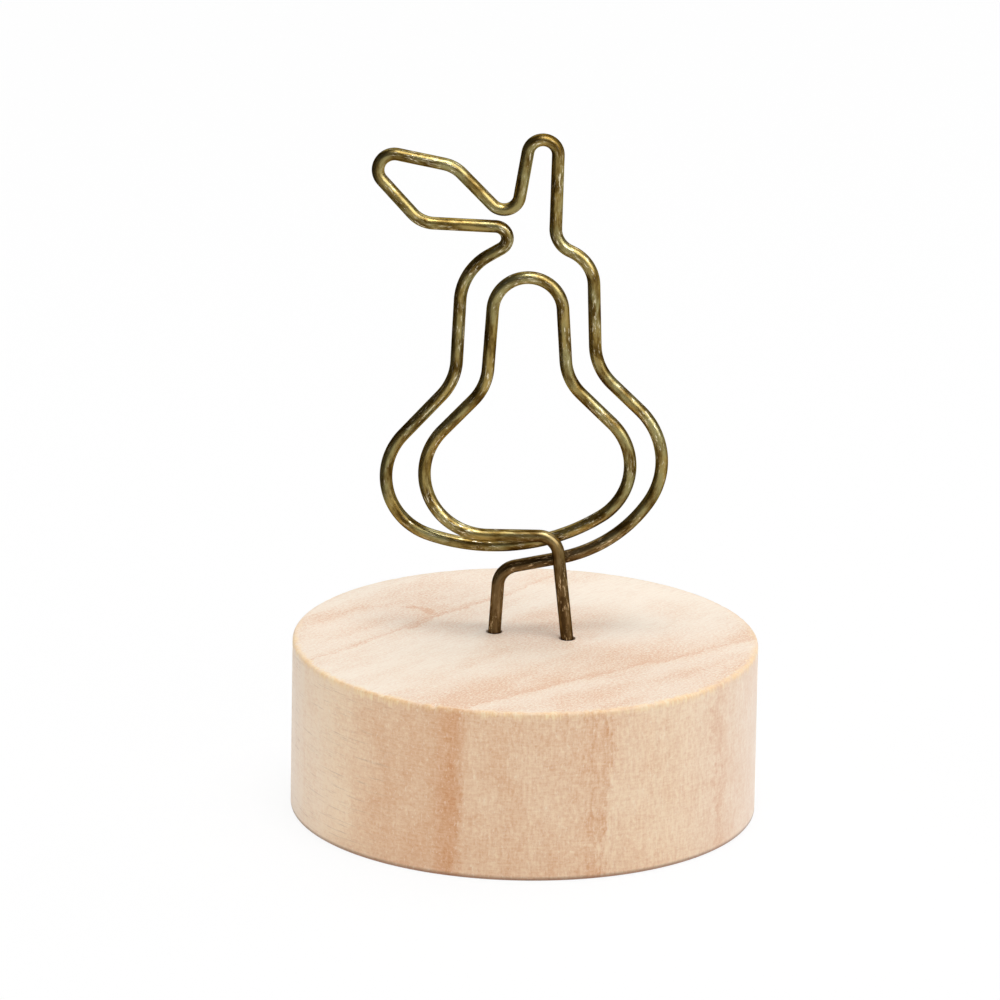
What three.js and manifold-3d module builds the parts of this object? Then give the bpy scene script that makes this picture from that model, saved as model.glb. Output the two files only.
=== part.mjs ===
// A photo clip holder: one brass wire, bent two turns into a pear with a stem and a leaf,
// stands in a turned wooden disc and grips a photo between its outer and inner turns.
// Millimetres, +Z up, +X to the right and +Y away from the viewer.
// The origin is the middle of the disc's underside.
import * as THREE from "three";
import { mergeVertices } from "three/addons/utils/BufferGeometryUtils.js";
import Module from "manifold-3d";

// Disc
const discDiameter = 40;
const discHeight = 15;
const rimBevel = 0.25;
const discSides = 96;

// Wire and its seat: all bends are measured to the wire's centre line
const wireDiameter = 1.1;
const wireSides = 12;
const ringAngle = THREE.MathUtils.degToRad(12); // a bend has a ring of facets at least this often
const strandGap = 0.4; // front to back, where one strand passes another
const springGap = 0.3; // at each end of the inner turn, which springs open by itself
const setBack = 1.2; // from the disc's axis back to the middle between the two layers of wire
const leftLegX = -2.7;
const rightLegX = 3.6;
const legDepth = 9.5; // of wire inside the disc
const mouthBend = 4; // each leg leans from a slight bend in the mouth of its hole
const mouthDepth = 0.5;
const holeClearance = 0.16;
const holeSpare = 0.6; // below the leg's end
const holeSides = 24;
const shortestRun = 0.01; // a straight shorter than this is left out between two bends

// Outer turn: half widths from its middle line, heights above the disc's top
const outerMiddleX = -0.4;
const bellyHalf = 11.8;
const bellyHeight = 13.9; // on the left
const rightRise = 1.6; // the right side stands higher than the left
const leftBellyBend = 5.5;
const rightBellyBend = 6.5;
const leftFlankLength = 4.8; // straight between belly and neck
const rightFlankLength = 3.3;
const neckHalf = 5.9;
const neckBend = 5;
const neckLength = 5.4; // straight between neck and shoulder
const shoulderInset = 0.2;
const leftShoulderBend = 4.9;
const rightShoulderBend = 3.3;
const floorBend = 16.8; // the wide bend that leads on from the outer turn to the inner one
const legFloorBend = 12; // the wide bend from the left leg to the right belly
const legFloorDrop = 0.2; // clear space between the two wide bends
const leftKneeX = -0.65;
const leftKneeBend = 1.8;
const leftKneeDrop = 0.5;
const rightKneeX = 1;
const rightKneeBend = 1.7;

// Inner turn, measured from the outer one
const innerShiftX = 0.3;
const innerNeckShiftX = 0.1; // its neck and dome stand less far over
const innerLift = 0.73;
const innerRise = 0.55; // its right side stands higher than its left
const bellyInset = 3;
const innerBellyBend = 5.45;
const innerFlankLength = 3.75;
const neckInset = 2.6;
const innerNeckBend = 4.6;
const innerNeckLength = 5.27;
const domeInset = 0.3;

// Stem and leaf: places from the outer turn's middle line, heights above the stem's and leaf's feet
const shoulderRun = 0.3; // straight from the right shoulder to the stem
const stemFootX = 4.5;
const stemFootBend = 2.15;
const stemTopX = 1.15;
const stemTopBend = 1.3;
const stemRise = 6.55;
const leafRun = 1.28; // straight from the left shoulder to the leaf
const leafFootX = -2.8;
const leafFootBend = 1.05;
const leafCrookX = -2.1; // the bend between stem and leaf, above the leaf's foot
const leafCrookBend = 1.35;
const leafCrookGap = 0.4;
const leafTopX = -7.8;
const leafTopRise = 3.65;
const leafTopBend = 2.9;
const leafTipX = -11.45;
const leafTipRise = 5.9;
const leafTipBend = 1.4;
const leafKeelX = -7.95;
const leafKeelRise = 3.83;
const leafKeelBend = 2.6;

// The wire is laid out as on a bending jig: it wraps round pegs, to the left or to the right,
// and runs straight from each peg to the next along their common tangent.
const LEFT = 1;
const RIGHT = -1;
const UP = 1;
const DOWN = -1;

function peg(x, height, bend, turn) {
  return { centre: new THREE.Vector2(x, height), bend, turn };
}

function pointOn(place, angle) {
  const reach = new THREE.Vector2(Math.cos(angle), Math.sin(angle));
  return reach.multiplyScalar(place.bend).add(place.centre);
}

// How far above one peg the next one stands, if the wire runs straight between them for a length
function riseOver(bends, length, across) {
  return Math.sqrt(bends ** 2 + length ** 2 - across ** 2);
}

function pegAbove(below, x, bend, turn, length) {
  const rise = riseOver(below.bend + bend, length, x - below.centre.x);
  return peg(x, below.centre.y + rise, bend, turn);
}

// Belly, neck and shoulder on one side of the outer turn
function outerSide({ side, height, bellyBend, flankLength, shoulderBend }) {
  const belly = peg(outerMiddleX + side * (bellyHalf - bellyBend), height, bellyBend, LEFT);
  const neckX = outerMiddleX + side * (neckHalf + neckBend);
  const neck = pegAbove(belly, neckX, neckBend, RIGHT, flankLength);
  const shoulderX = outerMiddleX + side * (neckHalf - shoulderInset - shoulderBend);
  const shoulder = pegAbove(neck, shoulderX, shoulderBend, LEFT, neckLength);
  return { belly, neck, shoulder };
}

const innerMiddleX = outerMiddleX + innerShiftX;
const innerNeckMiddleX = outerMiddleX + innerNeckShiftX;
const innerNeckHalf = neckHalf - neckInset;

// Belly and neck on one side of the inner turn
function innerSide(side, height) {
  const half = bellyHalf - bellyInset - innerBellyBend;
  const belly = peg(innerMiddleX + side * half, height, innerBellyBend, LEFT);
  const neckX = innerNeckMiddleX + side * (innerNeckHalf + innerNeckBend);
  const neck = pegAbove(belly, neckX, innerNeckBend, RIGHT, innerFlankLength);
  return { belly, neck };
}

// A wide bend below two bellies that touches both from outside
function bendUnder(first, second, bend) {
  const across = second.centre.clone().sub(first.centre);
  const span = across.length();
  const toFirst = bend - first.bend;
  const toSecond = bend - second.bend;
  const along = (span ** 2 + toFirst ** 2 - toSecond ** 2) / (2 * span);
  const up = Math.sqrt(toFirst ** 2 - along ** 2);
  const angle = across.angle();
  const centre = new THREE.Vector2(along, up).rotateAround(new THREE.Vector2(), angle).add(first.centre);
  return peg(centre.x, centre.y, bend, LEFT);
}

// A leg's slight bend in the mouth of its hole, from where it leans to its knee.
// The wire climbs the left leg and goes down the right one.
function mouth(legX, kneeX, way) {
  const lean = kneeX < legX ? -1 : 1;
  return peg(legX + lean * mouthBend, -mouthDepth, mouthBend, -lean * way);
}

const right = outerSide({
  side: 1,
  height: bellyHeight + rightRise,
  bellyBend: rightBellyBend,
  flankLength: rightFlankLength,
  shoulderBend: rightShoulderBend,
});
const left = outerSide({
  side: -1,
  height: bellyHeight,
  bellyBend: leftBellyBend,
  flankLength: leftFlankLength,
  shoulderBend: leftShoulderBend,
});
const innerRight = innerSide(1, bellyHeight + innerLift + innerRise);
const innerLeft = innerSide(-1, bellyHeight + innerLift);
const dome = pegAbove(innerLeft.neck, innerNeckMiddleX, innerNeckHalf - domeInset, LEFT, innerNeckLength);
const floor = bendUnder(left.belly, innerRight.belly, floorBend);

// The strand from the left leg passes below the floor bend and swings up into the right belly
const legFloorHeight = floor.centre.y - floorBend - wireDiameter - legFloorDrop;
const legFloorCentre = legFloorHeight + legFloorBend;
const legFloorReach = riseOver(legFloorBend - rightBellyBend, 0, legFloorCentre - right.belly.centre.y);
const legFloor = peg(right.belly.centre.x - legFloorReach, legFloorCentre, legFloorBend, LEFT);
const leftKnee = peg(leftKneeX, legFloorHeight - leftKneeDrop - leftKneeBend, leftKneeBend, RIGHT);
const leftMouth = mouth(leftLegX, leftKneeX - leftKneeBend, UP);

const stemFoot = pegAbove(right.shoulder, outerMiddleX + stemFootX, stemFootBend, RIGHT, shoulderRun);
const stemTop = peg(outerMiddleX + stemTopX, stemFoot.centre.y + stemRise, stemTopBend, LEFT);
const leafFoot = pegAbove(left.shoulder, outerMiddleX + leafFootX, leafFootBend, RIGHT, leafRun);
const leafHeight = leafFoot.centre.y;
const leafCrookHeight = leafHeight + leafFootBend + wireDiameter + leafCrookGap + leafCrookBend;
const leafCrook = peg(outerMiddleX + leafCrookX, leafCrookHeight, leafCrookBend, RIGHT);
const leafTop = peg(outerMiddleX + leafTopX, leafHeight + leafTopRise, leafTopBend, LEFT);
const leafTip = peg(outerMiddleX + leafTipX, leafHeight + leafTipRise, leafTipBend, LEFT);
const leafKeel = peg(outerMiddleX + leafKeelX, leafHeight + leafKeelRise, leafKeelBend, LEFT);

// The right leg leaves the inner turn's lowest point and passes in front of the left leg's strand
const rightKneeHeight = innerLeft.belly.centre.y - innerBellyBend - rightKneeBend;
const rightKnee = peg(rightKneeX, rightKneeHeight, rightKneeBend, RIGHT);
const rightMouth = mouth(rightLegX, rightKneeX + rightKneeBend, DOWN);

// The straight run from one peg to the next: the angles at which it leaves the one and meets the other
function tangent(from, to) {
  const across = to.centre.clone().sub(from.centre);
  const offset = (from.turn * from.bend - to.turn * to.bend) / across.length();
  const heading = across.angle() + Math.asin(THREE.MathUtils.clamp(offset, -1, 1));
  return { leave: heading - (from.turn * Math.PI) / 2, arrive: heading - (to.turn * Math.PI) / 2 };
}

// A flat route from a start point round the pegs to an end point
function route(start, pegs, end) {
  const stops = [peg(start.x, start.y, 0, LEFT), ...pegs, peg(end.x, end.y, 0, LEFT)];
  const runs = stops.slice(1).map((stop, index) => tangent(stops[index], stop));
  const path = new THREE.Path();
  path.moveTo(start.x, start.y);
  pegs.forEach((stop, index) => {
    const { arrive } = runs[index];
    const { leave } = runs[index + 1];
    const touch = pointOn(stop, arrive);
    path.lineTo(touch.x, touch.y);
    path.absarc(stop.centre.x, stop.centre.y, stop.bend, arrive, leave, stop.turn === RIGHT);
  });
  path.lineTo(end.x, end.y);
  return path;
}

// The rings of facets along a route stood upright at a depth that changes evenly from end to end
function ringsAlong(path, startDepth, endDepth) {
  const slope = (endDepth - startDepth) / path.getLength();
  const rings = [];
  let travelled = 0;
  const place = (curve, share) => {
    const flat = curve.getPoint(share);
    const heading = curve.getTangent(share);
    const depth = startDepth + slope * (travelled + share * curve.getLength());
    rings.push({
      point: new THREE.Vector3(flat.x, depth, discHeight + flat.y),
      heading: new THREE.Vector3(heading.x, slope, heading.y).normalize(),
    });
  };
  const curves = path.curves.filter((curve) => curve.getLength() > shortestRun);
  for (const curve of curves) {
    const bend = curve.isEllipseCurve ? curve.getLength() / curve.xRadius : 0;
    const steps = Math.max(1, Math.ceil(bend / ringAngle));
    for (let step = 0; step < steps; step += 1) {
      place(curve, step / steps);
    }
    travelled += curve.getLength();
  }
  const last = curves.at(-1);
  travelled -= last.getLength();
  place(last, 1);
  return rings;
}

// The wire's centre line, running evenly from ring to ring, so that bends get their full share
class RingLine extends THREE.Curve {
  constructor(rings) {
    super();
    this.rings = rings;
  }

  between(share, what) {
    const place = share * (this.rings.length - 1);
    const index = Math.min(Math.floor(place), this.rings.length - 2);
    const ends = [this.rings[index][what], this.rings[index + 1][what]];
    return new THREE.Vector3().lerpVectors(...ends, place - index);
  }

  getPoint(share) {
    return this.between(share, "point");
  }

  getPointAt(share) {
    return this.getPoint(share);
  }

  getTangentAt(share) {
    return this.between(share, "heading").normalize();
  }
}

// A stretch of wire along a route
function wire(path, startDepth, endDepth) {
  const rings = ringsAlong(path, startDepth, endDepth);
  const section = new THREE.Shape();
  section.absarc(0, 0, wireDiameter / 2, 0, 2 * Math.PI);
  return new THREE.ExtrudeGeometry(section, {
    curveSegments: wireSides / 2, // per half circle
    steps: rings.length - 1,
    extrudePath: new RingLine(rings),
  });
}

const wasm = await Module();
wasm.setup();

function solid(geometry) {
  const bare = geometry.clone();
  bare.deleteAttribute("normal");
  bare.deleteAttribute("uv");
  const merged = mergeVertices(bare);
  const vertProperties = new Float32Array(merged.attributes.position.array);
  const triVerts = new Uint32Array(merged.index.array);
  return new wasm.Manifold(new wasm.Mesh({ numProp: 3, vertProperties, triVerts }));
}

function meshGeometry(body) {
  const { vertProperties, triVerts } = body.getMesh();
  const geometry = new THREE.BufferGeometry();
  geometry.setAttribute("position", new THREE.BufferAttribute(vertProperties, 3));
  geometry.setIndex(new THREE.BufferAttribute(triVerts, 1));
  geometry.computeVertexNormals();
  return geometry;
}

// The disc is turned, then drilled once for each leg
function disc(legs) {
  const radius = discDiameter / 2;
  const profile = [
    new THREE.Vector2(0, 0),
    new THREE.Vector2(radius - rimBevel, 0),
    new THREE.Vector2(radius, rimBevel),
    new THREE.Vector2(radius, discHeight - rimBevel),
    new THREE.Vector2(radius - rimBevel, discHeight),
    new THREE.Vector2(0, discHeight),
  ];
  let body = solid(new THREE.LatheGeometry(profile, discSides).rotateX(Math.PI / 2));
  const holeRadius = wireDiameter / 2 + holeClearance;
  const holeDepth = legDepth + holeSpare;
  for (const { x, y } of legs) {
    const drill = new THREE.CylinderGeometry(holeRadius, holeRadius, 2 * holeDepth, holeSides);
    drill.rotateX(Math.PI / 2).translate(x, y, discHeight);
    body = body.subtract(solid(drill));
  }
  return meshGeometry(body);
}

const layerStep = wireDiameter + strandGap;
const backLayer = setBack + layerStep / 2;
const frontLayer = setBack - layerStep / 2;

const lowest = -Math.PI / 2;
const outerRoute = route(
  new THREE.Vector2(leftLegX, -legDepth),
  [
    leftMouth,
    leftKnee,
    legFloor,
    right.belly,
    right.neck,
    right.shoulder,
    stemFoot,
    stemTop,
    leafCrook,
    leafTop,
    leafTip,
    leafKeel,
    leafFoot,
    left.shoulder,
    left.neck,
    left.belly,
    floor,
  ],
  pointOn(floor, lowest - springGap / floorBend),
);
const innerEnd = pointOn(innerLeft.belly, lowest);
const innerRoute = route(
  pointOn(floor, lowest),
  [floor, innerRight.belly, innerRight.neck, dome, innerLeft.neck, innerLeft.belly],
  innerEnd,
);
const legRoute = route(
  new THREE.Vector2(innerEnd.x + springGap, innerEnd.y),
  [rightKnee, rightMouth],
  new THREE.Vector2(rightLegX, -legDepth),
);

const wood = new THREE.MeshStandardMaterial({ color: 0xe8cfb6, roughness: 0.75, metalness: 0 });
const brass = new THREE.MeshStandardMaterial({ color: 0x86703a, roughness: 0.38, metalness: 1 });

const holder = new THREE.Group();

function addPiece(name, geometry, material) {
  const piece = new THREE.Mesh(geometry, material.clone());
  piece.name = name;
  holder.add(piece);
}

const legs = [new THREE.Vector2(leftLegX, backLayer), new THREE.Vector2(rightLegX, frontLayer)];
addPiece("wooden_disc", disc(legs), wood);
addPiece("outer_turn", wire(outerRoute, backLayer, backLayer), brass);
addPiece("inner_turn", wire(innerRoute, backLayer, frontLayer), brass);
addPiece("right_leg", wire(legRoute, frontLayer, frontLayer), brass);

export default holder;
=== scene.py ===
# %% [markdown]
# # A photo clip holder of wire and wood
#
# One brass wire is bent two turns into a pear with a stem and a leaf, and it stands in a turned
# wooden disc. A photo slips between the two turns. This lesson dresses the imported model: the wire
# is bent again as a smooth tube, the disc gets its torn edge and its grain, and both get a finish.

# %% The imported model
import math

import bmesh
import bpy
import numpy as np
from mathutils import Matrix, Vector, geometry, noise


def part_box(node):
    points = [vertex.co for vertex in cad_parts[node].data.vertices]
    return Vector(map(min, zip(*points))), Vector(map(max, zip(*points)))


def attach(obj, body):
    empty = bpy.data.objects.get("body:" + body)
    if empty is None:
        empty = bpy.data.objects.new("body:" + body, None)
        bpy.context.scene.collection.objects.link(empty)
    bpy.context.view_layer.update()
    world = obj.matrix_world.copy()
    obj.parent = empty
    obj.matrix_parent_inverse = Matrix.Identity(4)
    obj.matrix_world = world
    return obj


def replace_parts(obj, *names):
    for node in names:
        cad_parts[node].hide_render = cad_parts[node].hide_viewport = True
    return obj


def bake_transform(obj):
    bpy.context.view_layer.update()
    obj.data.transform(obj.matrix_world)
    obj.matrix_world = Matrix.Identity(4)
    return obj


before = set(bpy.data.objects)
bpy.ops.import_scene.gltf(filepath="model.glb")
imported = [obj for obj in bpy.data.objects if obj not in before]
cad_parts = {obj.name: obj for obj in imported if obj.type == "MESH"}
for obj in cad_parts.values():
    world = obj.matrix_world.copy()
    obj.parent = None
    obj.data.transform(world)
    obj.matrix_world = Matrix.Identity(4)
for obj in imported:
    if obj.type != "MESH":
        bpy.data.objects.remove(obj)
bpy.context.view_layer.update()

MM = 0.001

# %% [markdown]
# ## The camera
#
# A long lens far away keeps the disc's two rims almost parallel, as on a product photo. The numbers
# are the camera's distance from the disc's middle, its height angle, and small turns of its head.
# They could be replaced by a Track To constraint, but a plain matrix keeps the slight roll too.

# %% Camera
CAMERA_DISTANCE = 1.0356
CAMERA_ELEVATION = math.radians(19.07)
CAMERA_TILT = math.radians(-17.62)
CAMERA_PAN = math.radians(-0.14)
CAMERA_ROLL = math.radians(1.0)
CAMERA_LENS = 432  # millimetres, on Blender's sensor of 36 mm

camera = bpy.data.objects.new("camera", bpy.data.cameras.new("camera"))
camera.data.lens = CAMERA_LENS
away = CAMERA_DISTANCE * math.cos(CAMERA_ELEVATION)
camera.matrix_world = (
    Matrix.Translation((0, -away, CAMERA_DISTANCE * math.sin(CAMERA_ELEVATION)))
    @ Matrix.Rotation(-CAMERA_PAN, 4, "Z")
    @ Matrix.Rotation(math.pi / 2 + CAMERA_TILT, 4, "X")
    @ Matrix.Rotation(CAMERA_ROLL, 4, "Z")
)
bpy.context.scene.collection.objects.link(camera)
bpy.context.scene.camera = camera
print("camera at", [round(x, 4) for x in camera.location])

# %% [markdown]
# ## The wire's centre line
#
# On the real object the wire is one length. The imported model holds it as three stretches, each a tube
# of flat facets whose rings stand square across the wire. The middle of a ring is a point of the
# centre line and the ring's own plane gives its heading, so a Bezier run from ring to ring brings
# back the round bends exactly. Drawing the line by hand again would be longer and could drift.

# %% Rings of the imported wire
wire_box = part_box("right_leg")
wire_diameter = wire_box[1].y - wire_box[0].y
MERGE = 1e-6
END_REACH = 0.75 * wire_diameter  # a corner this close to an end's middle belongs to its first ring


def low_end(node):
    """The middle of a stretch's lowest ring: the end of its leg."""
    corners = [vertex.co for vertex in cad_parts[node].data.vertices]
    lowest = min(corner.z for corner in corners)
    ring = [corner for corner in corners if corner.z < lowest + MERGE]
    return sum(ring, Vector()) / len(ring)


def ring_middles(node, end):
    """Middles and headings of a stretch's rings in order, from the end at a point."""
    shell = bmesh.new()
    shell.from_mesh(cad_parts[node].data)
    bmesh.ops.remove_doubles(shell, verts=shell.verts, dist=MERGE)
    shell.verts.index_update()
    ring = {vertex for vertex in shell.verts if (vertex.co - end).length < END_REACH}
    seen = set()
    middles = []
    while ring:
        seen |= ring
        corners = [vertex.co for vertex in sorted(ring, key=lambda vertex: vertex.index)]
        middle = sum(corners, Vector()) / len(corners)
        middles.append((middle, geometry.normal(corners[:3])))
        ring = {edge.other_vert(vertex) for vertex in ring for edge in vertex.link_edges} - seen
    shell.free()
    return middles


outer_rings = ring_middles("outer_turn", low_end("outer_turn"))
inner_rings = ring_middles("inner_turn", outer_rings[-1][0])
leg_rings = ring_middles("right_leg", inner_rings[-1][0])
print("rings:", len(outer_rings), len(inner_rings), len(leg_rings))

# %% One smooth line through all the rings
LINE_STEP = 0.1 * MM


def bezier_run(here, there):
    """Points of the smooth run between two rings, without the last one."""
    (start, start_heading), (end, end_heading) = here, there
    chord = end - start
    third = chord.length / 3
    leave = start_heading * math.copysign(third, start_heading.dot(chord))
    arrive = end_heading * math.copysign(third, end_heading.dot(chord))
    count = max(2, math.ceil(chord.length / LINE_STEP) + 1)
    return geometry.interpolate_bezier(start, start + leave, end - arrive, end, count)[:-1]


rings = outer_rings + inner_rings + leg_rings
line = [point for pair in zip(rings, rings[1:]) for point in bezier_run(*pair)]
line = np.array(line + [rings[-1][0]])
line_lengths = np.r_[0, np.cumsum(np.linalg.norm(np.diff(line, axis=0), axis=1))]
line_headings = np.gradient(line, line_lengths, axis=0)


def length_at(point):
    """How far along the wire a point of its centre line lies."""
    return float(line_lengths[np.linalg.norm(line - np.array(point), axis=1).argmin()])


wire_length = float(line_lengths[-1])
outer_end = length_at(outer_rings[-1][0])
leg_start = length_at(leg_rings[0][0])
print(f"wire {wire_length / MM:.1f} mm, inner turn from {outer_end / MM:.1f} to {leg_start / MM:.1f} mm")

# %% [markdown]
# ## Bending the wire
#
# A maker starts from straight wire, and so does this piece: a straight rod, cut into short rings, is
# carried ring by ring onto the centre line. A curve with a round bevel would be quicker, but the
# straight rod leaves something useful behind. Every corner remembers its place on the straight wire,
# and the finish later draws its clouds and nicks there, so that they follow every bend.
#
# Real wire isn't a perfect cylinder either. It is a little uneven, and its sides swell or
# flatten by a hundredth of a millimetre.

# %% Straight rod, bent
WIRE_SIDES = 28
RING_STEP = 0.16 * MM
UNEVEN = 0.012  # of the radius
UNEVEN_SIZE = 1.1 * MM  # from one swelling to the next
WIRE_SHARP = math.radians(40)  # a steeper edge than this stays sharp: the rims of the wire's ends


def bent(length, side, depth):
    """Where a point of the straight wire goes: its place along the wire, and across it both ways."""
    middle = Vector([np.interp(length, line_lengths, line[:, axis]) for axis in range(3)])
    heading = Vector([np.interp(length, line_lengths, line_headings[:, axis]) for axis in range(3)])
    heading.normalize()
    deep = Vector((0, 1, 0))
    deep = (deep - heading * deep.dot(heading)).normalized()
    return middle + deep.cross(heading) * side + deep * depth


def wire_stretch(name, start, end):
    """A stretch of the wire as its own piece, with each corner's place on the straight wire kept."""
    rod = bmesh.new()
    length = end - start
    lengthwise = Matrix.Translation((start + length / 2, 0, 0)) @ Matrix.Rotation(math.pi / 2, 4, "Y")
    bmesh.ops.create_cone(
        rod,
        cap_ends=True,
        segments=WIRE_SIDES,
        radius1=wire_diameter / 2,
        radius2=wire_diameter / 2,
        depth=length,
        matrix=lengthwise,
    )
    long_edges = [edge for edge in rod.edges if edge.calc_length() > length / 2]
    bmesh.ops.subdivide_edges(rod, edges=long_edges, cuts=round(length / RING_STEP) - 1)
    straight = rod.verts.layers.float_vector.new("straight")
    for vertex in rod.verts:
        place = vertex.co.copy()
        vertex[straight] = place
        swell = 1 + UNEVEN * (noise.noise(place / UNEVEN_SIZE) - 1) / 2
        vertex.co = bent(place.x, place.y * swell, place.z * swell)
    bmesh.ops.recalc_face_normals(rod, faces=rod.faces)
    mesh = bpy.data.meshes.new(name)
    rod.to_mesh(mesh)
    rod.free()
    mesh.shade_smooth()
    mesh.set_sharp_from_angle(angle=WIRE_SHARP)
    piece = bpy.data.objects.new(name, mesh)
    bpy.context.scene.collection.objects.link(piece)
    print(name, f"{length / MM:.1f} mm of wire,", len(mesh.polygons), "faces")
    return piece


outer_turn = wire_stretch("outer_turn_wire", 0, outer_end)
inner_turn = wire_stretch("inner_turn_wire", outer_end, leg_start)
right_leg = wire_stretch("right_leg_wire", leg_start, wire_length)

# %% [markdown]
# ## The disc
#
# The disc is turned from a plank, so its two faces are cut along the grain and its side goes from end
# grain to long grain and back. The cutter has torn the top edge here and there, mostly at the front. A
# cylinder is bevelled at both rims, and noise bites into the top bevel. A bump in the finish would be
# less work, but it can't break the edge's outline, and that is where the eye finds the tears.

# %% Turned disc with a torn edge
DISC_SIDES = 720
RIM_BEVEL = 0.25 * MM
RIM_SEGMENTS = 4
TEAR_DEPTH = 0.22 * MM
TEAR_SIZE = 0.7 * MM  # along the rim
TEAR_STARTS = 8 * MM  # behind the disc's middle
TEAR_BEHIND = 0.15  # how much of it there is behind that
TEAR_REACH = 0.9 * MM  # in from the rim; the rest of the top stays flat
TEAR_FRACTAL = (0.6, 2.0, 4)  # how fast finer bites get shallower, their step in size, and the steps
TEAR_INWARD = 0.6  # of a bite, towards the axis and down
TEAR_DOWN = 0.7
disc_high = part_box("wooden_disc")[1]
disc_radius = disc_high.x
disc_height = disc_high.z


def torn(corner):
    """A corner of the top rim after the cutter: moved in and down, by much in a few places."""
    around = math.atan2(corner.y, corner.x)
    ring = Vector((math.cos(around), math.sin(around), 0)) * disc_radius
    at_front = min(1, max(TEAR_BEHIND, (TEAR_STARTS - ring.y) / disc_radius))
    bite = max(0, noise.fractal(ring / TEAR_SIZE, *TEAR_FRACTAL)) * TEAR_DEPTH * at_front
    inward = Vector((corner.x, corner.y, 0)).normalized() * bite
    return corner - inward * TEAR_INWARD - Vector((0, 0, bite * TEAR_DOWN))


def turned_disc():
    """A bevelled disc whose top rim is torn."""
    disc = bmesh.new()
    bmesh.ops.create_cone(
        disc,
        cap_ends=True,
        segments=DISC_SIDES,
        radius1=disc_radius,
        radius2=disc_radius,
        depth=disc_height,
        matrix=Matrix.Translation((0, 0, disc_height / 2)),
    )
    rims = [edge for edge in disc.edges if abs(edge.verts[0].co.z - edge.verts[1].co.z) < MERGE]
    bmesh.ops.bevel(
        disc,
        geom=rims,
        offset=RIM_BEVEL,
        segments=RIM_SEGMENTS,
        profile=0.5,
        affect="EDGES",
        material=-1,
    )
    top = max(disc.faces, key=lambda face: face.calc_center_median().z)
    rim = [vertex for vertex in disc.verts if vertex.co.z > disc_height - RIM_BEVEL - MERGE]
    bmesh.ops.inset_individual(disc, faces=[top], thickness=TEAR_REACH)
    for vertex in rim:
        vertex.co = torn(vertex.co)
    bmesh.ops.recalc_face_normals(disc, faces=disc.faces)
    mesh = bpy.data.meshes.new("disc")
    disc.to_mesh(mesh)
    disc.free()
    piece = bpy.data.objects.new("disc", mesh)
    bpy.context.scene.collection.objects.link(piece)
    return piece


disc = turned_disc()
print("disc", round(2 * disc_radius / MM, 1), "by", round(disc_height / MM, 1), "mm")

# %% [markdown]
# ## The holes
#
# On the real disc the two holes are drilled straight down, a little wider and deeper than the legs that
# are pressed into them. Here each drill is a cylinder that a Boolean modifier takes out of the disc.
# Cutting the top face by hand would work too, with a ring of corners round each hole. The modifier
# is applied at once, so that the disc is a plain mesh again.

# %% Two drilled holes
HOLE_CLEARANCE = 0.16 * MM  # round the wire
HOLE_SPARE = 0.6 * MM  # below the end of a leg
HOLE_SIDES = 48
DISC_SHARP = math.radians(28)  # steeper edges stay sharp: the mouths of the holes


def drill(leg_end):
    """A cylinder to cut with, from just below a leg's end to well above the disc."""
    shape = bmesh.new()
    low = leg_end.z - HOLE_SPARE
    depth = 2 * (disc_height - low)
    radius = wire_diameter / 2 + HOLE_CLEARANCE
    bmesh.ops.create_cone(
        shape,
        cap_ends=True,
        segments=HOLE_SIDES,
        radius1=radius,
        radius2=radius,
        depth=depth,
        matrix=Matrix.Translation((leg_end.x, leg_end.y, low + depth / 2)),
    )
    mesh = bpy.data.meshes.new("drill")
    shape.to_mesh(mesh)
    shape.free()
    cutter = bpy.data.objects.new("drill", mesh)
    bpy.context.scene.collection.objects.link(cutter)
    return cutter


def drilled(piece, cutters):
    """Cuts the cutters out of a piece for good, and takes the cutters away."""
    for cutter in cutters:
        cut = piece.modifiers.new("hole", "BOOLEAN")
        cut.operation = "DIFFERENCE"
        cut.solver = "EXACT"
        cut.object = cutter
    depsgraph = bpy.context.evaluated_depsgraph_get()
    piece.data = bpy.data.meshes.new_from_object(piece.evaluated_get(depsgraph))
    piece.modifiers.clear()
    for cutter in cutters:
        bpy.data.objects.remove(cutter)


drilled(disc, [drill(outer_rings[0][0]), drill(leg_rings[-1][0])])
disc.data.shade_smooth()
disc.data.set_sharp_from_angle(angle=DISC_SHARP)
print("disc has", len(disc.data.polygons), "faces after drilling")

# %% [markdown]
# ## Small helpers for node materials
#
# A procedural finish is a chain of small nodes. These helpers place one node each and link it, so that
# a material reads like a recipe: a number or colour is set on the socket, and another node's output is
# linked to it. The first few do sums and take vectors apart.

# %% Helpers for sums and vectors
def feed(tree, socket, source):
    """Links a socket to another node's output, or sets it to a plain value."""
    if isinstance(source, bpy.types.NodeSocket):
        tree.links.new(source, socket)
    else:
        socket.default_value = source


def sums(tree, operation, *terms):
    """A Math node."""
    node = tree.nodes.new("ShaderNodeMath")
    node.operation = operation
    for socket, term in zip(node.inputs, terms):
        feed(tree, socket, term)
    return node.outputs[0]


def stretch(tree, vector, scale, turn=0.0):
    """A Mapping node: scaled, then turned about Z."""
    node = tree.nodes.new("ShaderNodeMapping")
    feed(tree, node.inputs["Vector"], vector)
    node.inputs["Scale"].default_value = scale
    node.inputs["Rotation"].default_value = (0, 0, turn)
    return node.outputs["Vector"]


def parts(tree, vector):
    """A vector's three parts, one output each."""
    node = tree.nodes.new("ShaderNodeSeparateXYZ")
    feed(tree, node.inputs[0], vector)
    return node.outputs


def reach(tree, vector):
    """A vector's length."""
    node = tree.nodes.new("ShaderNodeVectorMath")
    node.operation = "LENGTH"
    feed(tree, node.inputs[0], vector)
    return node.outputs["Value"]


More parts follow.
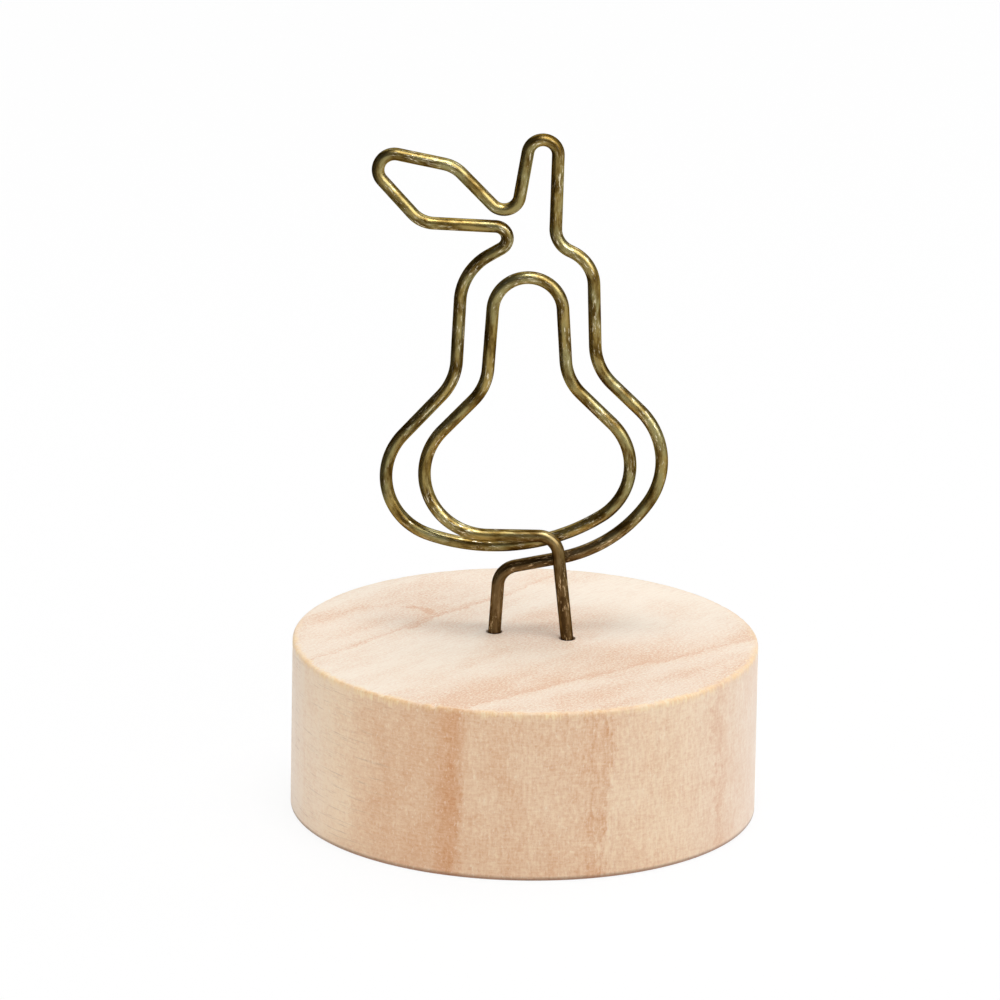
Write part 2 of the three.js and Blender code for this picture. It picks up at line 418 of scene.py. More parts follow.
# %% [markdown]
# The next few make patterns and colours. A Noise texture is a cloud of values that lie mostly between
# 0.25 and 0.75, round a middle of 0.5. Stretched in one direction it becomes fibres or streaks,
# and a Map Range node picks out how much of it counts. A pattern that is added to something swings
# both ways round zero.

# %% Helpers for patterns and colours
def cloudy(tree, vector, detail=2.0, roughness=0.5):
    """A Noise texture at scale 1, so that the vector's own scale sets its size."""
    node = tree.nodes.new("ShaderNodeTexNoise")
    feed(tree, node.inputs["Vector"], vector)
    node.inputs["Scale"].default_value = 1
    node.inputs["Detail"].default_value = detail
    node.inputs["Roughness"].default_value = roughness
    return node.outputs["Fac"]


def between(tree, value, low, high, to_low=0.0, to_high=1.0):
    """A smooth Map Range: to_low up to low, to_high from high on."""
    node = tree.nodes.new("ShaderNodeMapRange")
    node.interpolation_type = "SMOOTHSTEP"
    for name, source in zip(("Value", "From Min", "From Max"), (value, low, high)):
        feed(tree, node.inputs[name], source)
    node.inputs["To Min"].default_value = to_low
    node.inputs["To Max"].default_value = to_high
    return node.outputs["Result"]


def swing(tree, vector, scale, detail, roughness, spread, amount):
    """A Noise texture as an amount to add: up to the amount each way, a spread away from its middle."""
    pattern = cloudy(tree, stretch(tree, vector, scale), detail, roughness)
    return between(tree, pattern, 0.5 - spread, 0.5 + spread, -amount, amount)


def blended(tree, share, first, second):
    """A Mix node for colours."""
    node = tree.nodes.new("ShaderNodeMix")
    node.data_type = "RGBA"
    feed(tree, node.inputs[0], share)
    feed(tree, node.inputs[6], first)
    feed(tree, node.inputs[7], second)
    return node.outputs[2]


def bumped(tree, height, distance, strength):
    """A Bump node, with its distance in metres."""
    node = tree.nodes.new("ShaderNodeBump")
    feed(tree, node.inputs["Height"], height)
    node.inputs["Distance"].default_value = distance
    node.inputs["Strength"].default_value = strength
    return node.outputs["Normal"]


def new_finish(name):
    """An empty node material, its tree and its Principled shader."""
    material = bpy.data.materials.new(name)
    material.use_nodes = True
    return material, material.node_tree, material.node_tree.nodes["Principled BSDF"]


def linear(part):
    """One part of a colour on screen, from 0 to 255, as an amount of light from 0 to 1."""
    share = part / 255
    return share / 12.92 if share <= 0.04045 else ((share + 0.055) / 1.055) ** 2.4


def colour(red, green, blue):
    """A colour as seen on screen, as the amounts of light that a shader takes."""
    return [linear(part) for part in (red, green, blue)] + [1]


# %% [markdown]
# ## Wood
#
# The plank's growth layers stand almost upright and run across the disc, at 50 degrees from its front.
# On the top they show as long streaks, and on the side as upright bands. A flat picture wrapped round
# the disc would break at the rim. So the pattern is made in space, from how far a point lies
# across the layers, and top and side agree by themselves. The side drinks in more light than the
# sanded top and looks warmer, so each layer has one tone for the top and one for the side.

# %% Growth layers
GRAIN_TURN = math.radians(50)
LAYER_REACH = 21  # millimetres from the disc's middle to the outermost layer
# Place across the layers in millimetres, then how dark the layer is on the top and on the side,
# and how pale its side is: partly paler wood, partly a painted sheen at the side's left edge
LAYERS = [
    (-21.0, 0.38, 0.16, 0),
    (-16.6, 0.38, 0.18, 0),
    (-16.3, 0.4, 0.25, 0),
    (-16.0, 0.48, 0.58, 0),
    (-15.6, 0.5, 0.37, 0),
    (-14.4, 0.48, 0.32, 0),
    (-12.0, 0.5, 0.34, 0),
    (-8.9, 0.38, 0.35, 0),
    (-8.5, 0.4, 0.5, 0),
    (-8.1, 1.0, 0.68, 0),
    (-7.7, 0.76, 0.7, 0),
    (-7.0, 0.62, 0.6, 0),
    (-6.0, 0.56, 0.52, 0),
    (-5.0, 0.5, 0.46, 0),
    (-3.0, 0.34, 0.41, 0),
    (-1.0, 0.2, 0.44, 0),
    (1.5, 0.1, 0.29, 0),
    (3.6, 0.08, 0.1, 0.05),
    (9.2, 0.22, 0.08, 0.4),
    (9.45, 0.26, 0.1, 0.42),
    (9.65, 1.0, 0.2, 0.44),
    (9.85, 0.56, 0.14, 0.45),
    (10.6, 0.28, 0.06, 0.6),
    (13.0, 0.28, 0.08, 0.8),
    (15.2, 0.3, 0.12, 0.85),
    (16.0, 0.45, 0.26, 0.85),
    (17.1, 0.38, 0.2, 0.9),
    (18.0, 0.14, 0.1, 0.9),
]


def layer_tones(tree, across):
    """The tones of the growth layer at a place across the layers: on the top, on the side, and pale."""
    node = tree.nodes.new("ShaderNodeValToRGB")
    ramp = node.color_ramp
    ramp.interpolation = "EASE"
    while len(ramp.elements) < len(LAYERS):
        ramp.elements.new(1)
    for element, (place, top, side, pale) in zip(ramp.elements, LAYERS):
        element.position = (place + LAYER_REACH) / (2 * LAYER_REACH)
        element.color = (top, side, pale, 1)
    share = between(tree, across, -LAYER_REACH, LAYER_REACH)
    share.node.interpolation_type = "LINEAR"
    feed(tree, node.inputs["Fac"], share)
    apart = tree.nodes.new("ShaderNodeSeparateColor")
    feed(tree, apart.inputs[0], node.outputs["Color"])
    return apart.outputs


print("growth layers:", len(LAYERS))

# %% [markdown]
# Trees don't grow in flat sheets. The layers at the front right fan out, and all of them wander, ripple
# and fray a little. Each of these is an amount added to the place across the layers before its tone is
# looked up.

# %% How the layers bend
LAYER_FAN = 0.195  # millimetres for each millimetre along the grain
FAN_START = 17.5  # millimetres along the grain, before the disc's middle
FAN_ACROSS = (4, -6)  # millimetres across the grain: no fan at the first, all of it at the second
# The scale says how often a pattern repeats in a millimetre, along the grain, across it and upward.
# The amount is the shift in millimetres.
BENDS = {
    "wander": {"scale": (0.05, 0.12, 0.02), "detail": 2, "roughness": 0.5, "spread": 0.3, "amount": 0.4},
    "ripple": {"scale": (0.3, 0.9, 0.14), "detail": 3, "roughness": 0.5, "spread": 0.3, "amount": 0.35},
    "fray": {"scale": (0.9, 4, 1.2), "detail": 3, "roughness": 0.7, "spread": 0.3, "amount": 0.3},
}


def place_in_layers(tree, grain):
    """How far across the layers a point lies, with all that bends them."""
    along, across = parts(tree, grain)[:2]
    fanned = sums(tree, "ADD", along, FAN_START)
    fanned = sums(tree, "MULTIPLY", fanned, between(tree, across, *FAN_ACROSS, 0, LAYER_FAN))
    place = sums(tree, "ADD", across, fanned)
    for bend in BENDS.values():
        place = sums(tree, "ADD", place, swing(tree, grain, **bend))
    return place


print("layers bent by:", ", ".join(["fan", *BENDS]))

# %% [markdown]
# ## The sanded top
#
# The top is cut along the fibres and finely sanded: it is pale, with short pinkish fibres, a fine
# stipple and light specks. Where a twig once began, the grain makes a small hook. Round and behind the
# legs, a painted warm shadow makes the wood redder. Both are tones added to those of the layers.

# %% Hook and painted leg shadow
HOOK_ALONG = 0.3  # its middle, in millimetres along the grain and across it
HOOK_ACROSS = 11.8
HOOK_BEND = 0.25  # how strongly its arms bend back
HOOK_HALF = 0.6  # half its width
HOOK_ARMS = (2.3, 0.6)  # millimetres from its middle: where an arm ends, and where it is full
HOOK_RUFFLE = {"scale": (1.2, 1.2, 1), "detail": 3, "roughness": 0.6, "spread": 0.2, "amount": 0.25}
HOOK_TONE = 0.8
# The painted warm shadow round and behind the legs:
LEG_SHADOW_ALONG = 4  # its middle, in millimetres along the grain
LEG_SHADOW_LONG = 11  # half its length and half its width
LEG_SHADOW_WIDE = 5
LEG_SHADOW_TONE = 0.5


def grain_hook(tree, grain):
    """The soft hook in the grain where a twig began, as a tone to add."""
    along, across = parts(tree, grain)[:2]
    beyond = sums(tree, "ABSOLUTE", sums(tree, "SUBTRACT", across, HOOK_ACROSS))
    bend = sums(tree, "MULTIPLY", sums(tree, "MULTIPLY", beyond, beyond), HOOK_BEND)
    beside = sums(tree, "ADD", sums(tree, "SUBTRACT", along, HOOK_ALONG), bend)
    beside = sums(tree, "ADD", sums(tree, "ABSOLUTE", beside), swing(tree, grain, **HOOK_RUFFLE))
    tone = between(tree, beside, 0, HOOK_HALF, HOOK_TONE, 0)
    return sums(tree, "MULTIPLY", tone, between(tree, beyond, *HOOK_ARMS))


def painted_leg_shadow(tree, grain):
    """A painted warm shadow round and behind the legs, as a tone to add."""
    along, across = parts(tree, grain)[:2]
    along = sums(tree, "DIVIDE", sums(tree, "SUBTRACT", along, LEG_SHADOW_ALONG), LEG_SHADOW_LONG)
    across = sums(tree, "DIVIDE", across, LEG_SHADOW_WIDE)
    squares = [sums(tree, "MULTIPLY", part, part) for part in (along, across)]
    return between(tree, sums(tree, "ADD", *squares), 1, 0.05, 0, LEG_SHADOW_TONE)


print("hook", 2 * HOOK_HALF, "mm wide, painted_shadow", 2 * LEG_SHADOW_LONG, "by", 2 * LEG_SHADOW_WIDE, "mm")

# %% Sanded top
# How often a pattern repeats in a millimetre: along the grain, across it and upward
PATCHES = (0.12, 0.3, 0.1)
FIBRES = (0.6, 5, 3)
SPECKS = (2.5, 6, 6)
STIPPLE = {"scale": (3.5, 6, 5), "detail": 3, "roughness": 0.8, "spread": 0.15, "amount": 0.6}
FADE_ALONG = (6, 13)  # millimetres along the grain, over which the layers fade towards the back
FADE_TO = 0.65
STIPPLE_LEAST = 0.18  # added to the tone, so that the palest wood is stippled too
TOP_PALE = colour(250, 236, 217)
TOP_DARK = colour(228, 183, 146)
PINK_FIBRE = colour(228, 196, 170)
LIGHT_SPECK = colour(253, 246, 232)


def top_of_wood(tree, grain, tone):
    """The sanded top's colour, and its fibres and specks."""
    patches = cloudy(tree, stretch(tree, grain, PATCHES), 3, 0.55)
    fibres = cloudy(tree, stretch(tree, grain, FIBRES), 4, 0.65)
    specks = cloudy(tree, stretch(tree, grain, SPECKS), 3, 0.7)
    tone = sums(tree, "ADD", tone, painted_leg_shadow(tree, grain))
    fade = between(tree, parts(tree, grain)["X"], *FADE_ALONG, 1, FADE_TO)
    tone = sums(tree, "MULTIPLY", tone, fade)
    tone = sums(tree, "ADD", tone, grain_hook(tree, grain))
    tone = sums(tree, "MULTIPLY", tone, between(tree, patches, 0.3, 0.7, 0.75, 1.2))
    tone = sums(tree, "ADD", tone, between(tree, patches, 0.4, 0.75, -0.04, 0.22))
    strength = sums(tree, "ADD", tone, STIPPLE_LEAST)
    stipple = sums(tree, "MULTIPLY", strength, swing(tree, grain, **STIPPLE))
    shade = blended(tree, sums(tree, "ADD", tone, stipple), TOP_PALE, TOP_DARK)
    shade = blended(tree, between(tree, fibres, 0.45, 0.75, 0, 0.45), shade, PINK_FIBRE)
    shade = blended(tree, between(tree, specks, 0.52, 0.7, 0, 0.6), shade, LIGHT_SPECK)
    return shade, fibres, specks


print("pale top, as light:", [round(part, 2) for part in TOP_PALE[:3]])

# %% [markdown]
# ## The turned side
#
# The side is cut by the lathe. At the front left and the back right the cutter met the fibres end on,
# and the wood is warm and mottled. Towards the right and the back it is nearly as pale as the top:
# partly paler long grain, and partly a painted sheen where the side is seen edge on, at left and right.
# There are pale threads all over, thin dark turning marks on the left part and fine upright streaks on
# the right part. Each of these is a pattern of its own, so that one can be changed without the others.

# %% Turned side
# How often a pattern repeats in a millimetre: both ways across the disc, and upward
SIDE_PATTERNS = {
    "blotches": {"scale": (0.35, 0.35, 0.25), "detail": 4, "roughness": 0.6, "spread": 0.2, "amount": 0.1},
    "mottle": {"scale": (3.2, 3.2, 3.4), "detail": 5, "roughness": 0.75, "spread": 0.25, "amount": 0.19},
    "level": {"scale": (0.9, 0.9, 6), "detail": 3, "roughness": 0.7, "spread": 0.25, "amount": 0.11},
}
UPRIGHT_STREAKS = {"scale": (4, 4, 0.9), "detail": 4, "roughness": 0.7, "spread": 0.25, "amount": 0.18}
THREADS = (6, 6, 2.2)
TURNING_MARKS = (0.3, 0.3, 8)
# Millimetres across the grain or along it: nothing of it at the first, and all of it at the second
UPRIGHT_ACROSS = (-4, -13)
MARKS_ACROSS = (-6, 2)
PALE_AND_SHEEN_FROM_ALONG = (-7, 12)
PALE_AND_SHEEN_UNTIL_ALONG = (19, 14)
WARM_LIGHT = colour(247, 220, 187)
WARM_DARK = colour(212, 146, 93)
PALE_LIGHT = colour(247, 231, 213)
PALE_DARK = colour(229, 191, 161)
PALE_THREAD = colour(252, 236, 214)
DARK_MARK = colour(176, 140, 116)


def uneven_side(tree, body, across):
    """How much darker or lighter than its layers the side is, as a tone to add."""
    streaks = swing(tree, body, **UPRIGHT_STREAKS)
    tone = sums(tree, "MULTIPLY", streaks, between(tree, across, *UPRIGHT_ACROSS))
    for pattern in SIDE_PATTERNS.values():
        tone = sums(tree, "ADD", tone, swing(tree, body, **pattern))
    return tone


def side_of_wood(tree, body, grain, tone, pale):
    """The turned side's colour."""
    along, across = parts(tree, grain)[:2]
    tone = sums(tree, "ADD", tone, uneven_side(tree, body, across))
    # Paler long grain, with a painted sheen at the right edge laid into it
    long_grain_and_sheen = between(tree, along, *PALE_AND_SHEEN_FROM_ALONG)
    long_grain_and_sheen = sums(tree, "MULTIPLY", long_grain_and_sheen, between(tree, along, *PALE_AND_SHEEN_UNTIL_ALONG))
    pale = sums(tree, "MAXIMUM", pale, long_grain_and_sheen)
    light = blended(tree, pale, WARM_LIGHT, PALE_LIGHT)
    dark = blended(tree, pale, WARM_DARK, PALE_DARK)
    shade = blended(tree, tone, light, dark)
    threads = cloudy(tree, stretch(tree, body, THREADS), 3, 0.7)
    shade = blended(tree, between(tree, threads, 0.56, 0.7, 0, 0.5), shade, PALE_THREAD)
    marks = cloudy(tree, stretch(tree, body, TURNING_MARKS), 3, 0.6)
    marks = between(tree, marks, 0.58, 0.7, 0, 0.35)
    marks = sums(tree, "MULTIPLY", marks, between(tree, across, *MARKS_ACROSS))
    return blended(tree, marks, shade, DARK_MARK)


print("warm side, as light:", [round(part, 2) for part in WARM_LIGHT[:3]])

# %% [markdown]
# ## The torn edge and the finished wood
# Along the front of the top edge the cutter has pulled out fibres. They stand up in small
# yellowish tufts, so the edge is neither straight nor clean. A mask picks the edge from the sum
# of distance from the axis and height, which is greatest there. The same trick with the difference
# finds the lower edge, where a painted contact shadow darkens the wood along the floor.

# %% Torn edge
TUFTS = (2.6, 2.6, 0.5)  # repeats in a millimetre, as on the side
YELLOW_PATCHES = (0.4, 0.4, 0.3)
YELLOW_REACH = (0.75, 0.15)  # millimetres before the corner: where it begins, and where it is full
YELLOW_BACK = (10, -4)  # millimetres behind the disc's middle: little of it, and then all
YELLOW_BEHIND = 0.2
TUFT_YELLOW = colour(245, 205, 146)
TUFT_PALE = colour(252, 231, 194)
# A painted contact shadow along the lower edge, where the disc meets the floor:
CONTACT_SHADOW_REACH = (0.5, 0.1)  # millimetres before the lower corner, as above
CONTACT_SHADOW_SHARE = 0.8
CONTACT_SHADOW_BROWN = colour(132, 86, 60)


def torn_edge(tree, body, radius, height, shade):
    """A colour with the yellowish tufts of the top edge laid over it."""
    corner = (disc_radius + disc_height) / MM
    tufts = cloudy(tree, stretch(tree, body, TUFTS), 4, 0.7)
    patches = cloudy(tree, stretch(tree, body, YELLOW_PATCHES), 2)
    nearness = sums(tree, "ADD", radius, height)
    nearness = sums(tree, "ADD", nearness, between(tree, tufts, 0.25, 0.75, -0.45, 0.35))
    share = between(tree, nearness, *[corner - before for before in YELLOW_REACH])
    share = sums(tree, "MULTIPLY", share, between(tree, patches, 0.3, 0.65, 0.3, 0.85))
    front = between(tree, parts(tree, body)["Y"], *YELLOW_BACK, YELLOW_BEHIND, 1)
    share = sums(tree, "MULTIPLY", share, front)
    yellow = blended(tree, between(tree, tufts, 0.45, 0.65), TUFT_YELLOW, TUFT_PALE)
    return blended(tree, share, shade, yellow)


def painted_contact_shadow(tree, radius, height, shade):
    """A colour with a painted contact shadow laid along the lower edge."""
    nearness = sums(tree, "SUBTRACT", radius, height)
    corner = disc_radius / MM
    share = between(tree, nearness, *[corner - before for before in CONTACT_SHADOW_REACH], 0, CONTACT_SHADOW_SHARE)
    return blended(tree, share, shade, CONTACT_SHADOW_BROWN)


print("torn edge:", YELLOW_REACH[0], "mm of yellow above,", CONTACT_SHADOW_REACH[0], "mm of contact_shade below")

# %% Wood finish
SIDE_REACH = (0.35, 0.1)  # millimetres in from the rim: still the top, and already the side
FIBRE_HEIGHT = 0.03 * MM


def wood_finish():
    """Bare sanded wood."""
    material, tree, shader = new_finish("sanded_wood")
    point = tree.nodes.new("ShaderNodeTexCoord").outputs["Object"]
    body = stretch(tree, point, (1 / MM,) * 3)
    grain = stretch(tree, point, (1 / MM,) * 3, -GRAIN_TURN)
    radius = reach(tree, stretch(tree, body, (1, 1, 0)))
    height = parts(tree, body)["Z"]

    top_tone, side_tone, pale = layer_tones(tree, place_in_layers(tree, grain))
    top, fibres, specks = top_of_wood(tree, grain, top_tone)
    side = side_of_wood(tree, body, grain, side_tone, pale)
    on_side = between(tree, radius, *[disc_radius / MM - inward for inward in SIDE_REACH])
    shade = blended(tree, on_side, top, side)
    shade = torn_edge(tree, body, radius, height, shade)
    shade = painted_contact_shadow(tree, radius, height, shade)

    feed(tree, shader.inputs["Base Color"], shade)
    feed(tree, shader.inputs["Roughness"], between(tree, specks, 0.2, 0.8, 0.45, 0.65))
    shader.inputs["Sheen Weight"].default_value = 0.12
    shader.inputs["Sheen Roughness"].default_value = 0.3
    feed(tree, shader.inputs["Normal"], bumped(tree, fibres, FIBRE_HEIGHT, 0.3))
    return material


disc.data.materials.append(wood_finish())
print("wood:", len(disc.data.materials[0].node_tree.nodes), "nodes")

# %% [markdown]
# ## Antique brass
#
# Antique brass is brass that was darkened in a bath and then rubbed. Where it was rubbed least, the
# dark film is whole, where it was rubbed more it is brown like bronze, and where it was rubbed most the
# yellow metal shows. These change in soft clouds along the wire, with finer streaks in them and small
# bright nicks on top. The legs and the strand behind the right leg count as rubbed less: they are
# browner, and darker as painted shade near the disc. A pattern in space would
# cut straight through the bends, so this one is drawn on the straight wire, whose three parts are
# the place along it, the place to the side, and the depth.

# %% Legs of the wire
# How far the legs' mask reaches, so that painted shade darkens the wire near the disc
LEFT_FOOT = 23  # millimetres of wire from its end: the left leg and the strand behind the right one
RIGHT_FOOT = 17
FOOT_FADE = (8, -4)  # millimetres past the foot: none of it, and all of it


def legs_and_shade(tree, along):
    """A mask of the wire's two ends, its legs: browner film there, and painted shade near the disc."""
    past_left = sums(tree, "SUBTRACT", along, LEFT_FOOT)
    past_right = sums(tree, "SUBTRACT", wire_length / MM - RIGHT_FOOT, along)
    return between(tree, sums(tree, "MINIMUM", past_left, past_right), *FOOT_FADE)


print("legs:", LEFT_FOOT, "and", RIGHT_FOOT, "mm of", round(wire_length / MM, 1), "mm of wire")

# %% Brass finish
# How often a pattern repeats in a millimetre: along the wire, to the side and in depth
CLOUDS = (0.45, 1.4, 1.4)
STREAKS = {"scale": (1.1, 4.5, 4.5), "detail": 4, "roughness": 0.7, "spread": 0.25, "amount": 0.08}
NICKS = (1.4, 7, 7)
NICKED_PLACES = (0.3, 0.8, 0.8)
TARNISH = (0.2, 0.6, 0.6)
PITS = (4, 9, 9)
PIT_DEPTH = 0.006 * MM
# Less rubbing on the legs, which also paints shade near the disc
LEGS_RUBBED_AND_SHADED = 0.66  # of the rubbing that the turns got
# Colours on the turns and on the legs
FILM = colour(36, 24, 3), colour(52, 36, 17)
BRONZE = colour(96, 73, 26), colour(88, 68, 38)
BRIGHT_NICK = colour(226, 214, 180), colour(204, 178, 136)
YELLOW_METAL = colour(158, 135, 76)
GREENISH_METAL = colour(147, 137, 90)
LEG_METAL = colour(136, 114, 80)


def brass_colour(tree, wire, clouds):
    """Film, bronze, metal and nicks, one laid over the other."""
    nicks = cloudy(tree, stretch(tree, wire, NICKS), 4, 0.7)
    nicked = cloudy(tree, stretch(tree, wire, NICKED_PLACES), 2)
    tarnish = cloudy(tree, stretch(tree, wire, TARNISH), 2)
    legs = legs_and_shade(tree, parts(tree, wire)["X"])
    rubbed = between(tree, legs, 0, 1, 1, LEGS_RUBBED_AND_SHADED)
    rubbed = sums(tree, "MULTIPLY", between(tree, clouds, 0.3, 0.7, 0.3, 1.05), rubbed)
    rubbed = sums(tree, "ADD", rubbed, swing(tree, wire, **STREAKS))
    metal = blended(tree, between(tree, tarnish, 0.4, 0.6), YELLOW_METAL, GREENISH_METAL)
    metal = blended(tree, legs, metal, LEG_METAL)
    film = blended(tree, legs, *FILM)
    shade = blended(tree, between(tree, rubbed, 0, 0.55), film, blended(tree, legs, *BRONZE))
    shade = blended(tree, between(tree, rubbed, 0.3, 1), shade, metal)
    share = between(tree, nicks, 0.55, 0.65)
    share = sums(tree, "MULTIPLY", share, between(tree, nicked, 0.45, 0.58, 0.05, 1))
    return blended(tree, share, shade, blended(tree, legs, *BRIGHT_NICK))


def brass_finish():
    """Darkened brass, rubbed bright in clouds along the wire."""
    material, tree, shader = new_finish("antique_brass")
    place = tree.nodes.new("ShaderNodeAttribute")
    place.attribute_name = "straight"
    wire = stretch(tree, place.outputs["Vector"], (1 / MM,) * 3)
    clouds = cloudy(tree, stretch(tree, wire, CLOUDS), 4, 0.6)
    pits = cloudy(tree, stretch(tree, wire, PITS), 3, 0.7)
    feed(tree, shader.inputs["Base Color"], brass_colour(tree, wire, clouds))
    feed(tree, shader.inputs["Roughness"], between(tree, clouds, 0.3, 0.7, 0.4, 0.32))
    feed(tree, shader.inputs["Normal"], bumped(tree, pits, PIT_DEPTH, 0.4))
    shader.inputs["Metallic"].default_value = 1
    # Seen at a grazing angle, the film keeps the shine brown
    shader.inputs["Specular Tint"].default_value = (0.4, 0.33, 0.18, 1)
    shader.inputs["Coat Weight"].default_value = 0.04
    shader.inputs["Coat Roughness"].default_value = 0.14
    return material


brass = brass_finish()
for piece in (outer_turn, inner_turn, right_leg):
    piece.data.materials.append(brass)
print("brass:", len(brass.node_tree.nodes), "nodes")

# %% [markdown]
# ## The floor
#
# A large sheet of white paper fills the picture. Lit as plainly as the object is, paper comes out
# grey and uneven, and more light would spoil the wood. So most of the paper glows a plain white where
# the camera looks at it or the metal mirrors it. A tenth of it stays real paper, which keeps the
# object's shadow.

# %% Floor
FLOOR_SIZE = 6.0
FLOOR_GAP = 0.02 * MM  # below the disc, so that the two faces don't flicker through each other
PLAIN_WHITE = 0.9  # the share of it
floor_shape = bmesh.new()
bmesh.ops.create_grid(floor_shape, x_segments=1, y_segments=1, size=FLOOR_SIZE / 2)
floor_mesh = bpy.data.meshes.new("floor")
floor_shape.to_mesh(floor_mesh)
floor_shape.free()
floor = bpy.data.objects.new("floor", floor_mesh)
floor.location.z = -FLOOR_GAP
bpy.context.scene.collection.objects.link(floor)


def floor_finish():
    """White paper that shows as white, with a part of its shadow kept."""
    material, tree, shader = new_finish("white_paper")
    shader.inputs["Base Color"].default_value = (0.95, 0.95, 0.95, 1)
    shader.inputs["Roughness"].default_value = 0.9
    paths = tree.nodes.new("ShaderNodeLightPath")
    seen = sums(tree, "MAXIMUM", paths.outputs["Is Camera Ray"], paths.outputs["Is Glossy Ray"])
    seen = sums(tree, "MAXIMUM", seen, paths.outputs["Is Transmission Ray"])
    glow = tree.nodes.new("ShaderNodeEmission")
    glow.inputs["Strength"].default_value = 1
    paper = tree.nodes.new("ShaderNodeMixShader")
    feed(tree, paper.inputs[0], sums(tree, "MULTIPLY", seen, PLAIN_WHITE))
    tree.links.new(shader.outputs[0], paper.inputs[1])
    tree.links.new(glow.outputs[0], paper.inputs[2])
    tree.links.new(paper.outputs[0], tree.nodes["Material Output"].inputs[0])
    return material


floor.data.materials.append(floor_finish())
print("floor", FLOOR_SIZE, "m wide")

# %% [markdown]
# ## The light
#
# Wood and metal ask for different light. Bare wood wants soft light of a plain level, at which a colour
# looks as it was mixed. Metal shows what it mirrors, and wants a few bright panels in a darker room.
# So there are two sets of soft panels. One is seen by diffuse rays and lights the wood. The other is
# seen by glossy rays and gives the wire its shine, a little cool as daylight is. Bare wood has a faint
# gloss too, so it isn't free of this second set. The room is pale low down, and above that dark on the
# left and paler on the right, which makes the wire look round.

# %% Sky
HORIZON = 0.6  # strengths of the backdrop and of the room's two sides
DARK_SIDE = 0.04
PALE_SIDE = 0.25
ROOM_TURNS = (-0.5, 0.6)  # how far to the right it starts and stops getting paler
BACKDROP_TOP = 0.16  # how high the pale backdrop reaches, as the sine of its height angle


def studio_sky():
    """A low pale backdrop all round, and above it a room, dark on the left and pale on the right."""
    world = bpy.data.worlds.new("studio")
    world.use_nodes = True
    tree = world.node_tree
    direction = parts(tree, tree.nodes.new("ShaderNodeTexCoord").outputs["Generated"])
    room = between(tree, direction["X"], *ROOM_TURNS, DARK_SIDE, PALE_SIDE)
    backdrop = between(tree, direction["Z"], 0, BACKDROP_TOP, HORIZON, 0)
    feed(tree, tree.nodes["Background"].inputs["Strength"], sums(tree, "MAXIMUM", room, backdrop))
    tree.nodes["Background"].inputs["Color"].default_value = (1, 1, 1, 1)
    return world


bpy.context.scene.world = studio_sky()
bpy.context.scene.view_settings.view_transform = "Standard"
print("sky:", bpy.context.scene.world.name)

# %% Panels
# Size and place in metres, and the panel's own brightness
WOOD_PANELS = {
    "overhead": {"size": (1.2, 1.2), "place": (0.06, 0.15, 1.0), "brightness": 1.4},
    "key": {"size": (0.34, 0.34), "place": (0.04, -0.12, 0.9), "brightness": 7.0},
    "right": {"size": (0.8, 0.6), "place": (0.62, -0.62, 0.4), "brightness": 1.0},
    "behind": {"size": (0.5, 0.5), "place": (0.8, 0.5, 0.3), "brightness": 1.8},
    "left": {"size": (0.6, 0.5), "place": (-0.85, -0.15, 0.25), "brightness": 2.1},
    "front": {"size": (1.0, 0.6), "place": (-0.3, -1.1, 0.5), "brightness": 0.4},
}
WIRE_PANELS = {
    "shine_above": {"size": (0.4, 0.35), "place": (0.2, -0.3, 0.8), "brightness": 14.0},
    "shine_right": {"size": (0.7, 0.7), "place": (0.65, -0.55, 0.45), "brightness": 4.4},
    "shine_behind": {"size": (1.4, 0.5), "place": (0.1, 0.62, 0.75), "brightness": 2.2},
}
SHINE_COLOUR = (0.97, 1.0, 1.1)  # a little cool
PLAIN_COLOUR = (1, 1, 1)


def hang(name, panel, on_wire):
    """A soft panel that faces the disc and lights either the wood or the shine of the wire."""
    lamp = bpy.data.lights.new(name, "AREA")
    lamp.shape = "RECTANGLE"
    lamp.size, lamp.size_y = panel["size"]
    lamp.energy = panel["brightness"] * math.pi * lamp.size * lamp.size_y
    lamp.color = SHINE_COLOUR if on_wire else PLAIN_COLOUR
    light = bpy.data.objects.new(name, lamp)
    light.location = panel["place"]
    aim = Vector((0, 0, disc_height))
    light.rotation_euler = (aim - light.location).to_track_quat("-Z", "Y").to_euler()
    light.visible_glossy = on_wire
    light.visible_diffuse = not on_wire
    bpy.context.scene.collection.objects.link(light)


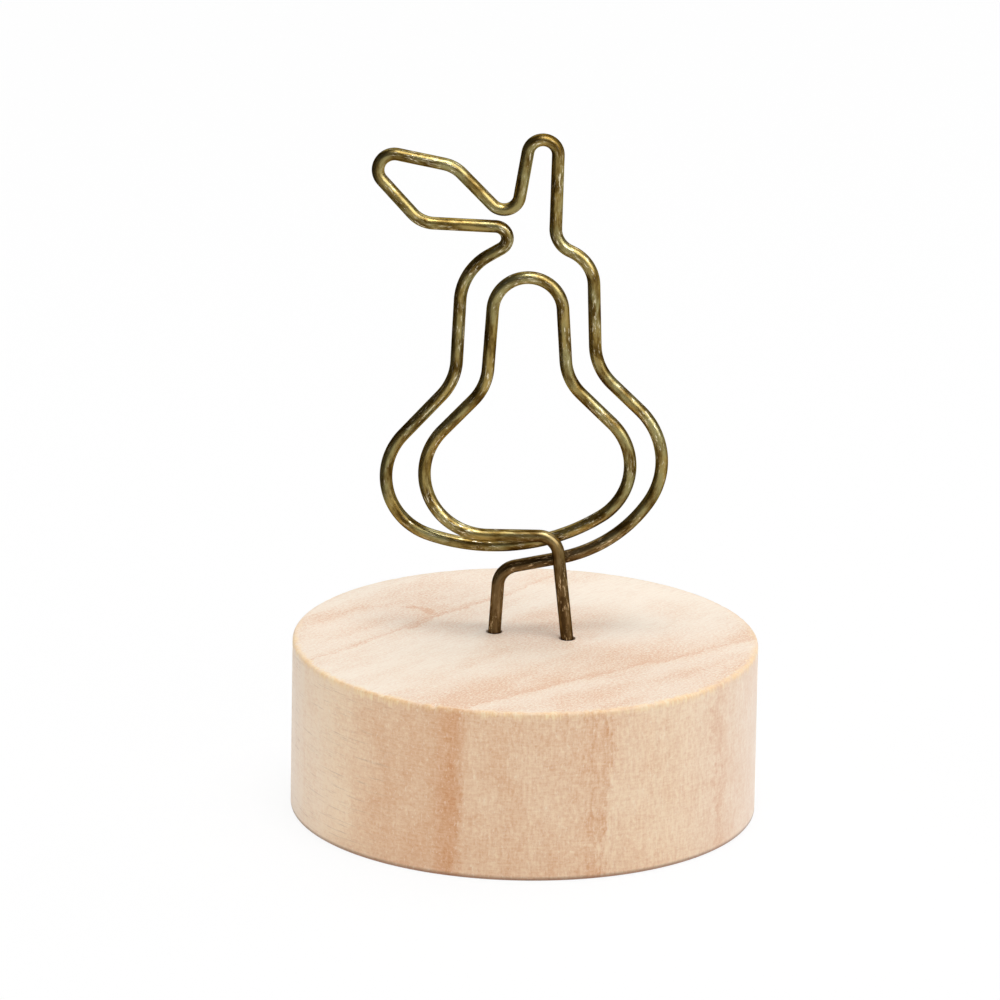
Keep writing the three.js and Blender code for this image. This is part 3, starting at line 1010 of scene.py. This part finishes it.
for name, panel in WOOD_PANELS.items():
    hang(name, panel, False)
for name, panel in WIRE_PANELS.items():
    hang(name, panel, True)
print("lights:", ", ".join([*WOOD_PANELS, *WIRE_PANELS]))

# %% [markdown]
# ## A black card for the metal
#
# Shiny metal looks like what it mirrors. Standing on white paper, an upright wire mirrors only paper,
# and its two sides look alike. Photographers stand a black card beside such a piece, just out of the
# picture, so that one side of the metal mirrors the card and turns dark. This card is seen by glossy
# rays alone: it casts no shadow, and the dull wood mirrors little of it.

# %% Card
CARD_LEFT = 48 * MM  # from the disc's axis
CARD_FRONT = -60 * MM
CARD_BACK = 90 * MM
CARD_HEIGHT = 75 * MM
CARD_COLOUR = (0.1, 0.085, 0.06, 1)  # a warm black


def black_card():
    """A card that stands on the floor at the left."""
    shape = bmesh.new()
    length = CARD_BACK - CARD_FRONT
    upright = Matrix.Rotation(math.pi / 2, 4, "Y") @ Matrix.Diagonal((CARD_HEIGHT, length, 1, 1))
    middle = Matrix.Translation((-CARD_LEFT, CARD_FRONT + length / 2, CARD_HEIGHT / 2))
    bmesh.ops.create_grid(shape, x_segments=1, y_segments=1, size=0.5, matrix=middle @ upright)
    mesh = bpy.data.meshes.new("black_card")
    shape.to_mesh(mesh)
    shape.free()
    card = bpy.data.objects.new("black_card", mesh)
    card.visible_camera = False
    card.visible_diffuse = False
    card.visible_shadow = False
    bpy.context.scene.collection.objects.link(card)
    material, _, shader = new_finish("black_paper")
    shader.inputs["Base Color"].default_value = CARD_COLOUR
    shader.inputs["Roughness"].default_value = 0.9
    mesh.materials.append(material)
    return card


black_card()
print("card", round(CARD_HEIGHT / MM), "mm high,", round(CARD_LEFT / MM), "mm left of the axis")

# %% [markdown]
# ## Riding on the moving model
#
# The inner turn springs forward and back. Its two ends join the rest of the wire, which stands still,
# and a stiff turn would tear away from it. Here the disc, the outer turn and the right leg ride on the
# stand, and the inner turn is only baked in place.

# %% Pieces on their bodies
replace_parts(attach(disc, "stand"), "wooden_disc")
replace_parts(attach(outer_turn, "stand"), "outer_turn")
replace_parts(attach(right_leg, "stand"), "right_leg")
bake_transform(inner_turn)
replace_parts(inner_turn, "inner_turn")
